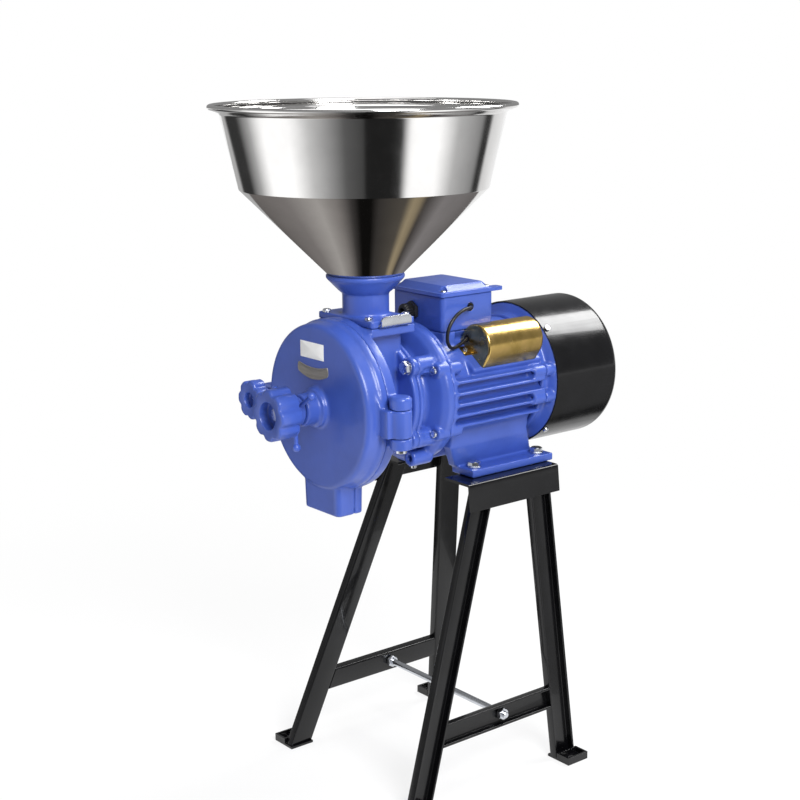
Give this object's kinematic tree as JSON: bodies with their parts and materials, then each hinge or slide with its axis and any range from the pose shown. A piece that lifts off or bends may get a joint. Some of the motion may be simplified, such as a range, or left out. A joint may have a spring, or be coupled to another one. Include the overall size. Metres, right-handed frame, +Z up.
{
  "type": "electric grain mill",
  "caption": "Electric disc mill for grain: steel hopper over a hinged grinding chamber with an adjusting knob, driven by a finned motor on a folded sheet-steel stand.",
  "frame": {"origin": "on the floor, under the middle of the machine's bounding box", "axes": "+Z up; -Y towards the front, where the cover and its adjusting knob are; +X towards the cover's hinge; the shaft runs along Y"},
  "size_m": [0.3334, 0.4846, 0.7765],
  "materials": {
    "blue_enamel": "gloss enamel on cast iron",
    "black_enamel": "gloss enamel on folded sheet steel",
    "polished_stainless": "polished stainless sheet",
    "yellow_passivated_steel": "yellow zinc plating on drawn steel",
    "zinc_plated_steel": "bright zinc plating",
    "machined_steel": "turned and ground steel",
    "white_cast_iron": "bare hard cast iron",
    "electrical_steel": "stacked laminations",
    "copper_windings": "varnished copper wire",
    "black_moulding": "moulded phenolic and nylon",
    "capacitor_case": "drawn aluminium can",
    "nameplate_foil": "blank etched foil",
    "black_rubber": "extruded and moulded rubber"
  },
  "bodies": {
    "machine": {"bearing_balls": "machined_steel", "bearing_outer_rings": "machined_steel", "bell_screws": "zinc_plated_steel", "cable_gland": "black_moulding", "capacitor": "capacitor_case", "capacitor_cover": "yellow_passivated_steel", "capacitor_lead": "black_rubber", "capacitor_screws": "zinc_plated_steel", "casing_bolts": "zinc_plated_steel", "disc_screws": "zinc_plated_steel", "fan_cover": "black_enamel", "fan_cover_screws": "zinc_plated_steel", "feed_neck": "blue_enamel", "fixed_disc": "white_cast_iron", "foot_bolts": "zinc_plated_steel", "foot_trays": "black_enamel", "front_end_bell": "blue_enamel", "hex_nuts": "zinc_plated_steel", "hinge_pin": "zinc_plated_steel", "lead_grommets": "black_rubber", "left_crossbar": "black_enamel", "left_front_leg": "black_enamel", "left_rear_leg": "black_enamel", "left_top_bar": "black_enamel", "lid_screws": "zinc_plated_steel", "motor_frame": "blue_enamel", "neck_bolts": "zinc_plated_steel", "rear_casing": "blue_enamel", "rear_end_bell": "blue_enamel", "right_crossbar": "black_enamel", "right_front_leg": "black_enamel", "right_rear_leg": "black_enamel", "right_top_bar": "black_enamel", "shaft_seal": "black_rubber", "stator_core": "electrical_steel", "stator_windings": "copper_windings", "terminal_board": "black_moulding", "terminal_box": "blue_enamel", "terminal_box_lid": "blue_enamel", "terminal_studs": "copper_windings", "tie_rod": "zinc_plated_steel"},
    "spindle": {"motor_shaft": "machined_steel", "rotor": "electrical_steel", "bearing_inner_rings": "machined_steel", "cooling_fan": "black_moulding", "feed_auger": "white_cast_iron"},
    "grinding_disc": {"moving_disc": "white_cast_iron", "disc_spring": "machined_steel"},
    "cover": {"front_cover": "blue_enamel", "cover_nameplate": "nameplate_foil"},
    "thrust": {"thrust_ball": "machined_steel"},
    "knob": {"adjusting_screw": "zinc_plated_steel", "adjusting_knob": "blue_enamel"},
    "lock_nut": {"lock_nut": "blue_enamel", "lock_levers": "blue_enamel"},
    "clamp_carrier": {"clamp_washer": "zinc_plated_steel"},
    "clamp": {"clamp_screw": "zinc_plated_steel", "clamp_knob": "blue_enamel"},
    "gate": {"gate_plate": "zinc_plated_steel"},
    "hopper": {"hopper": "polished_stainless"}
  },
  "joints": [
    {"name": "spindle_spin", "type": "hinge", "parent": "machine", "child": "spindle", "pos_m": [0, 0, 0.452], "axis": [0, 1, 0], "continuous": true},
    {"name": "disc_slide", "type": "slide", "parent": "spindle", "child": "grinding_disc", "axis": [0, -1, 0], "range_m": [0, 0.0031], "deforming": ["disc_spring"]},
    {"name": "cover_swing", "type": "hinge", "parent": "machine", "child": "cover", "pos_m": [0.108, -0.1141, 0.452], "axis": [0, 0, 1], "range_deg": [0, 150]},
    {"name": "screw_feed", "type": "slide", "parent": "cover", "child": "thrust", "axis": [0, -1, 0], "range_m": [0, 0.0031]},
    {"name": "knob_turn", "type": "hinge", "parent": "thrust", "child": "knob", "pos_m": [0, -0.2, 0.452], "axis": [0, -1, 0], "range_deg": [0, 540]},
    {"name": "lock_nut_turn", "type": "hinge", "parent": "cover", "child": "lock_nut", "pos_m": [0, -0.175, 0.452], "axis": [0, -1, 0], "range_deg": [0, 90]},
    {"name": "clamp_feed", "type": "slide", "parent": "cover", "child": "clamp_carrier", "axis": [0, -1, 0], "range_m": [0, 0.0145]},
    {"name": "clamp_turn", "type": "hinge", "parent": "clamp_carrier", "child": "clamp", "pos_m": [-0.118, -0.14, 0.441], "axis": [0, -1, 0], "range_deg": [0, 2520]},
    {"name": "gate_slide", "type": "slide", "parent": "machine", "child": "gate", "axis": [1, 0, 0], "range_m": [0, 0.052]},
    {"name": "hopper_lift", "type": "slide", "parent": "machine", "child": "hopper", "axis": [0, 0, 1], "range_m": [0, 0.06]}
  ],
  "couplings": [
    {"joint": "disc_slide", "follows": "knob_turn", "m_per_rad": 0.00031831},
    {"joint": "screw_feed", "follows": "knob_turn", "m_per_rad": 0.00031831},
    {"joint": "clamp_feed", "follows": "clamp_turn", "m_per_rad": 0.00031831}
  ]
}
